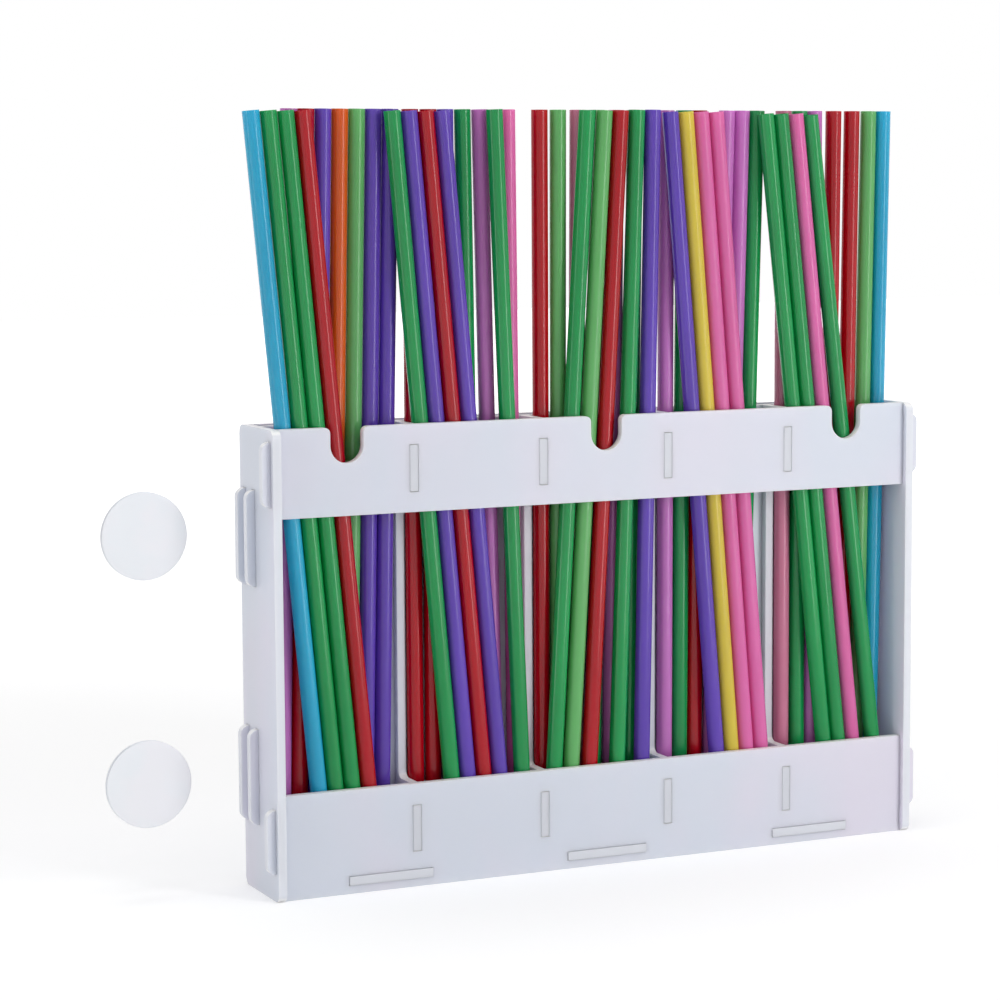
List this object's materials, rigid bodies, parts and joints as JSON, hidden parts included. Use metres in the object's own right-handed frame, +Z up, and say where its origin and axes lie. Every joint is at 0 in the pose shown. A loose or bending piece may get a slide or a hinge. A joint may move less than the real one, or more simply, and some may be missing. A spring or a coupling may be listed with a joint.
{
  "type": "straw rack",
  "caption": "Flat-pack rack of frosted sheets that stands or hangs on a wall. Loose drinking straws fill its open-topped bays and lift out past a notched front band.",
  "frame": {"origin": "the middle of the lower front band's underside, on the surface that the rack stands on", "axes": "+X to the right along the rack, +Y from the front bands to the wall, +Z up along the straws"},
  "size_m": [0.303, 0.0327, 0.2663],
  "materials": {
    "adhesive_pad": "white foam pad with a smooth paper liner on its face",
    "frosted_sheet": "frosted cast acrylic sheet with a slight blue tint, edges a little brighter",
    "green_straw": "thin extruded tube, green, glossy and translucent",
    "light_blue_straw": "thin extruded tube, light blue, glossy and translucent",
    "light_green_straw": "thin extruded tube, light green, glossy and translucent",
    "lilac_straw": "thin extruded tube, lilac, glossy and translucent",
    "orange_straw": "thin extruded tube, orange, glossy and translucent",
    "pink_straw": "thin extruded tube, pink, glossy and translucent",
    "purple_straw": "thin extruded tube, purple, glossy and translucent",
    "red_straw": "thin extruded tube, red, glossy and translucent",
    "rose_straw": "thin extruded tube, rose, glossy and translucent",
    "yellow_straw": "thin extruded tube, yellow, glossy and translucent"
  },
  "bodies": {
    "rack": {"adhesive_pad_lower": "adhesive_pad", "adhesive_pad_upper": "adhesive_pad", "divider_1": "frosted_sheet", "divider_2": "frosted_sheet", "divider_3": "frosted_sheet", "divider_4": "frosted_sheet", "floor_panel": "frosted_sheet", "front_lower_band": "frosted_sheet", "front_upper_band": "frosted_sheet", "left_side_panel": "frosted_sheet", "outer_back_board": "frosted_sheet", "right_side_panel": "frosted_sheet", "slotted_back_panel": "frosted_sheet"},
    "bundle_1": {"bay_1_green_straws": "green_straw", "bay_1_light_blue_straws": "light_blue_straw", "bay_1_lilac_straws": "lilac_straw", "bay_1_orange_straws": "orange_straw", "bay_1_purple_straws": "purple_straw", "bay_1_red_straws": "red_straw"},
    "single_1": {"drawn_straw_1": "light_green_straw"},
    "bundle_2": {"bay_2_green_straws": "green_straw", "bay_2_lilac_straws": "lilac_straw", "bay_2_pink_straws": "pink_straw", "bay_2_purple_straws": "purple_straw", "bay_2_red_straws": "red_straw"},
    "single_2": {"drawn_straw_2": "purple_straw"},
    "bundle_3": {"bay_3_green_straws": "green_straw", "bay_3_light_green_straws": "light_green_straw", "bay_3_lilac_straws": "lilac_straw", "bay_3_purple_straws": "purple_straw", "bay_3_red_straws": "red_straw", "bay_3_rose_straws": "rose_straw"},
    "single_3": {"drawn_straw_3": "red_straw"},
    "bundle_4": {"bay_4_green_straws": "green_straw", "bay_4_lilac_straws": "lilac_straw", "bay_4_pink_straws": "pink_straw", "bay_4_purple_straws": "purple_straw", "bay_4_red_straws": "red_straw", "bay_4_yellow_straws": "yellow_straw"},
    "single_4": {"drawn_straw_4": "pink_straw"},
    "bundle_5": {"bay_5_green_straws": "green_straw", "bay_5_light_blue_straws": "light_blue_straw", "bay_5_light_green_straws": "light_green_straw", "bay_5_lilac_straws": "lilac_straw", "bay_5_pink_straws": "pink_straw", "bay_5_red_straws": "red_straw", "bay_5_rose_straws": "rose_straw"},
    "single_5": {"drawn_straw_5": "red_straw"}
  },
  "joints": [
    {"name": "bundle_1_lift", "type": "slide", "parent": "rack", "child": "bundle_1", "axis": [0, 0, 1], "range_m": [0, 0.16]},
    {"name": "single_1_draw", "type": "slide", "parent": "bundle_1", "child": "single_1", "axis": [0.0238, 0, 0.9997], "range_m": [0, 0.16]},
    {"name": "bundle_2_lift", "type": "slide", "parent": "rack", "child": "bundle_2", "axis": [0, 0, 1], "range_m": [0, 0.16]},
    {"name": "single_2_draw", "type": "slide", "parent": "bundle_2", "child": "single_2", "axis": [-0.0868, 0, 0.9962], "range_m": [0, 0.16]},
    {"name": "bundle_3_lift", "type": "slide", "parent": "rack", "child": "bundle_3", "axis": [0, 0, 1], "range_m": [0, 0.16]},
    {"name": "single_3_draw", "type": "slide", "parent": "bundle_3", "child": "single_3", "axis": [0.0554, 0, 0.9985], "range_m": [0, 0.16]},
    {"name": "bundle_4_lift", "type": "slide", "parent": "rack", "child": "bundle_4", "axis": [0, 0, 1], "range_m": [0, 0.16]},
    {"name": "single_4_draw", "type": "slide", "parent": "bundle_4", "child": "single_4", "axis": [-0.0829, 0, 0.9966], "range_m": [0, 0.16]},
    {"name": "bundle_5_lift", "type": "slide", "parent": "rack", "child": "bundle_5", "axis": [0, 0, 1], "range_m": [0, 0.16]},
    {"name": "single_5_draw", "type": "slide", "parent": "bundle_5", "child": "single_5", "axis": [0.0119, 0, 0.9999], "range_m": [0, 0.16]}
  ]
}
